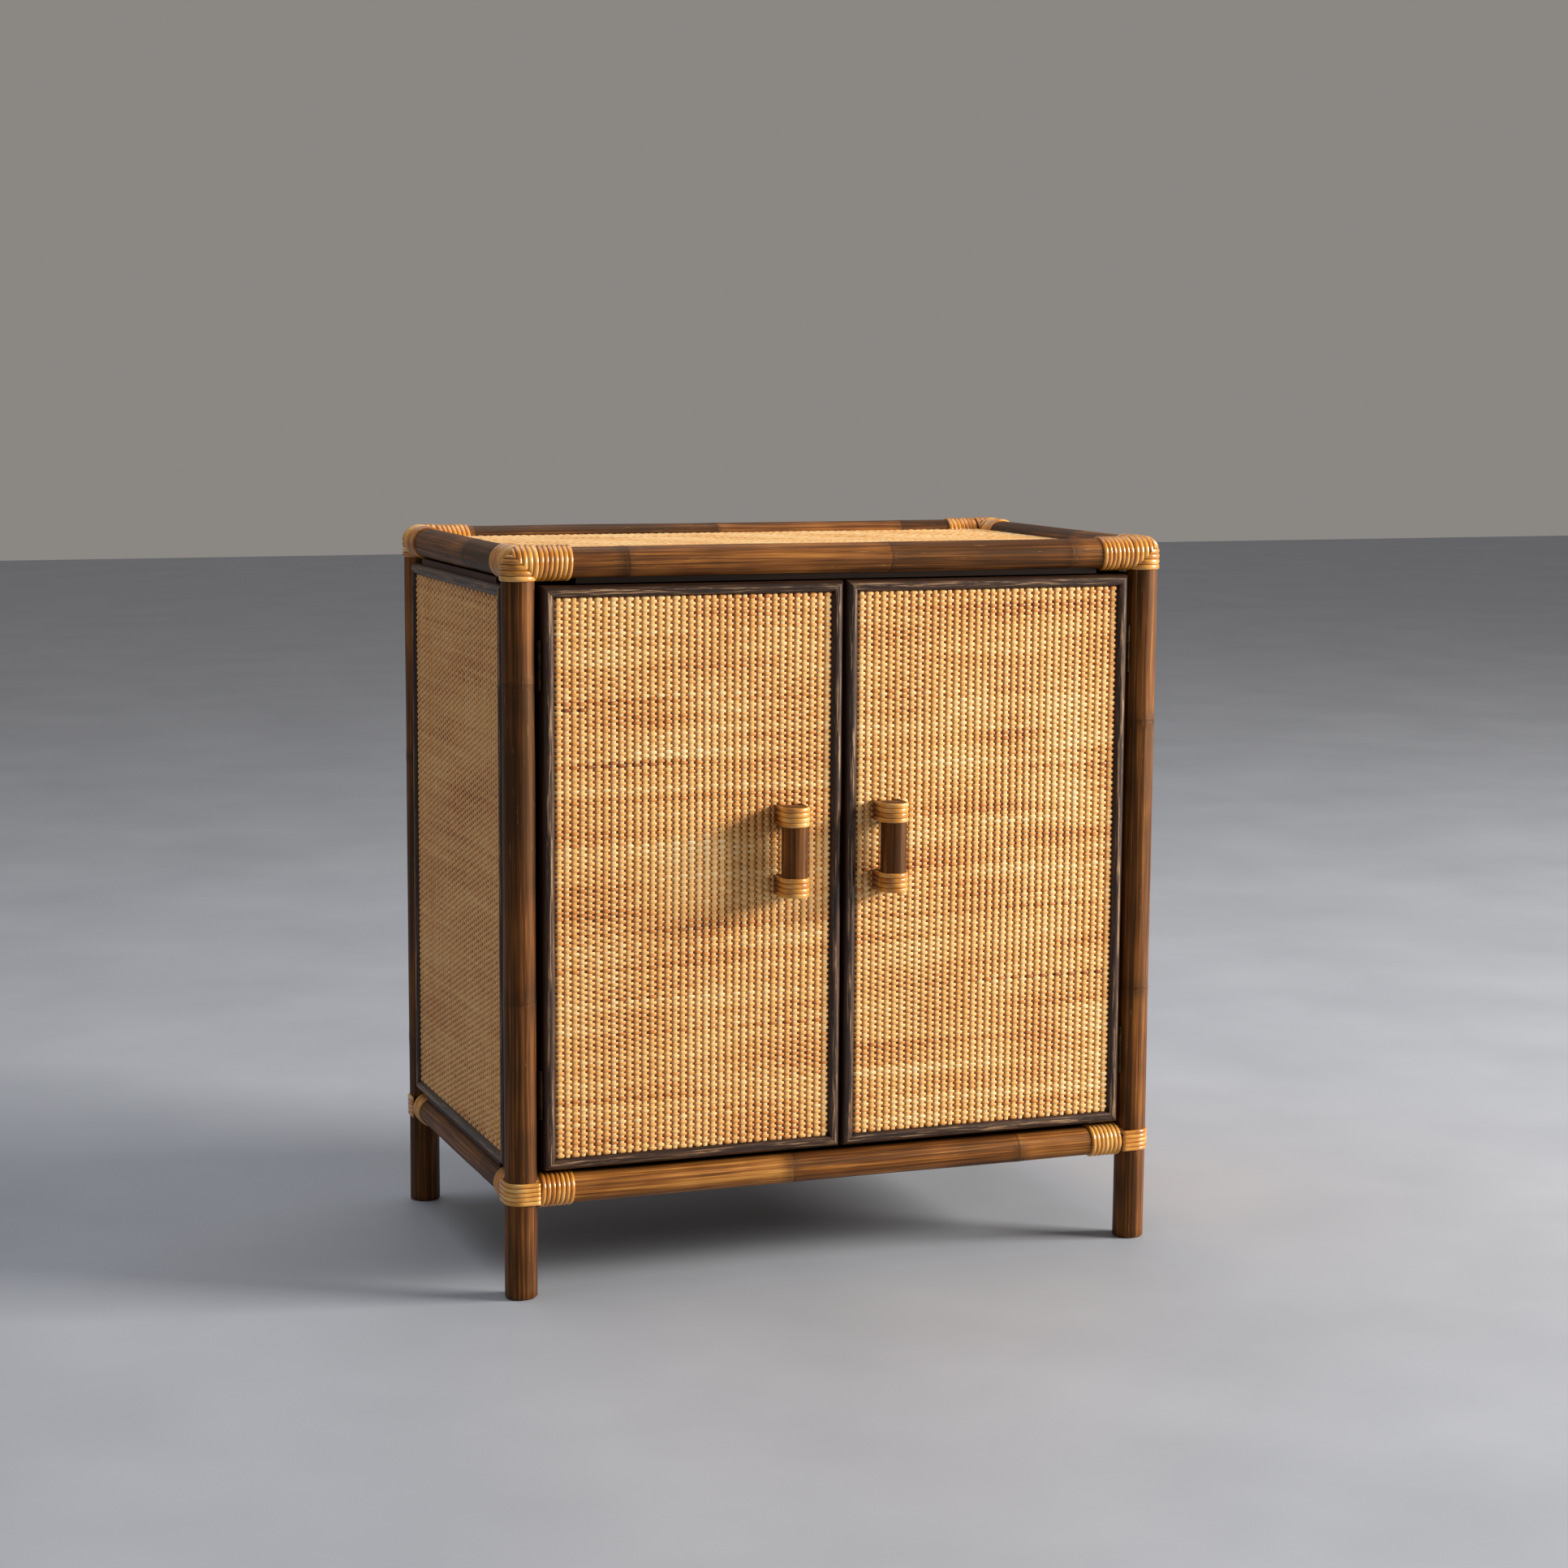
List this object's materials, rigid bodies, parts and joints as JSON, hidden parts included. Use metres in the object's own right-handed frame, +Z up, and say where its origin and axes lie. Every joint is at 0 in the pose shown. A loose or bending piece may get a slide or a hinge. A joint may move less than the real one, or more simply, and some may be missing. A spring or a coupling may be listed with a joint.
{
  "type": "two-door storage cabinet",
  "caption": "Square-framed rattan-pole cabinet on legs, with close-woven panels, a pair of hinged front doors with short pole handles, and bound corner joints.",
  "frame": {"origin": "bottom centre of the whole box, on the floor under the cabinet", "axes": "+Z up, doors face -Y, +X to the right of someone facing the doors"},
  "size_m": [0.7418, 0.4814, 0.7804],
  "materials": {
    "rattan_pole": "dark stained cane pole, clear gloss lacquer",
    "rattan_bead": "very dark stained half-round cane, satin lacquer",
    "rattan_binding": "honey cane peel, glossy",
    "rattan_weave": "close plain weave of cane, satin",
    "plywood": "brown stained plywood, satin",
    "hardwood": "plain planed hardwood",
    "steel": "plain steel",
    "brass": "turned brass",
    "catch_housing": "brown moulded plastic"
  },
  "bodies": {
    "cabinet": {"back_beads": "rattan_bead", "back_board": "plywood", "back_weave": "rattan_weave", "binding_bottom_front_left": "rattan_binding", "binding_bottom_front_right": "rattan_binding", "binding_bottom_rear_left": "rattan_binding", "binding_bottom_rear_right": "rattan_binding", "binding_top_front_left": "rattan_binding", "binding_top_front_right": "rattan_binding", "binding_top_rear_left": "rattan_binding", "binding_top_rear_right": "rattan_binding", "bottom_rail_front": "rattan_pole", "bottom_rail_left": "rattan_pole", "bottom_rail_rear": "rattan_pole", "bottom_rail_right": "rattan_pole", "catch_rail": "hardwood", "door_catches": "catch_housing", "door_header": "rattan_bead", "floor_board": "plywood", "hinge_leg_leaves": "brass", "hinge_pins": "brass", "leg_front_left": "rattan_pole", "leg_front_right": "rattan_pole", "leg_rear_left": "rattan_pole", "leg_rear_right": "rattan_pole", "rail_dowels": "hardwood", "shelf": "plywood", "shelf_cleats": "hardwood", "side_beads_left": "rattan_bead", "side_beads_right": "rattan_bead", "side_board_left": "plywood", "side_board_right": "plywood", "side_weave_left": "rattan_weave", "side_weave_right": "rattan_weave", "top_board": "plywood", "top_rail_front": "rattan_pole", "top_rail_left": "rattan_pole", "top_rail_rear": "rattan_pole", "top_rail_right": "rattan_pole", "top_weave": "rattan_weave"},
    "left_door": {"left_door_beads": "rattan_bead", "left_door_board": "plywood", "left_door_handle_bar": "rattan_pole", "left_door_handle_bindings": "rattan_binding", "left_door_handle_block_lower": "hardwood", "left_door_handle_block_upper": "hardwood", "left_door_handle_screws": "steel", "left_door_hinge_leaves": "brass", "left_door_strike": "steel", "left_door_weave": "rattan_weave"},
    "right_door": {"right_door_beads": "rattan_bead", "right_door_board": "plywood", "right_door_handle_bar": "rattan_pole", "right_door_handle_bindings": "rattan_binding", "right_door_handle_block_lower": "hardwood", "right_door_handle_block_upper": "hardwood", "right_door_handle_screws": "steel", "right_door_hinge_leaves": "brass", "right_door_strike": "steel", "right_door_weave": "rattan_weave"}
  },
  "joints": [
    {"name": "left_door_hinge", "type": "hinge", "parent": "cabinet", "child": "left_door", "pos_m": [-0.3305, -0.19725, 0.436], "axis": [0, 0, -1], "range_deg": [0, 105]},
    {"name": "right_door_hinge", "type": "hinge", "parent": "cabinet", "child": "right_door", "pos_m": [0.3305, -0.19725, 0.436], "axis": [0, 0, 1], "range_deg": [0, 105]}
  ]
}
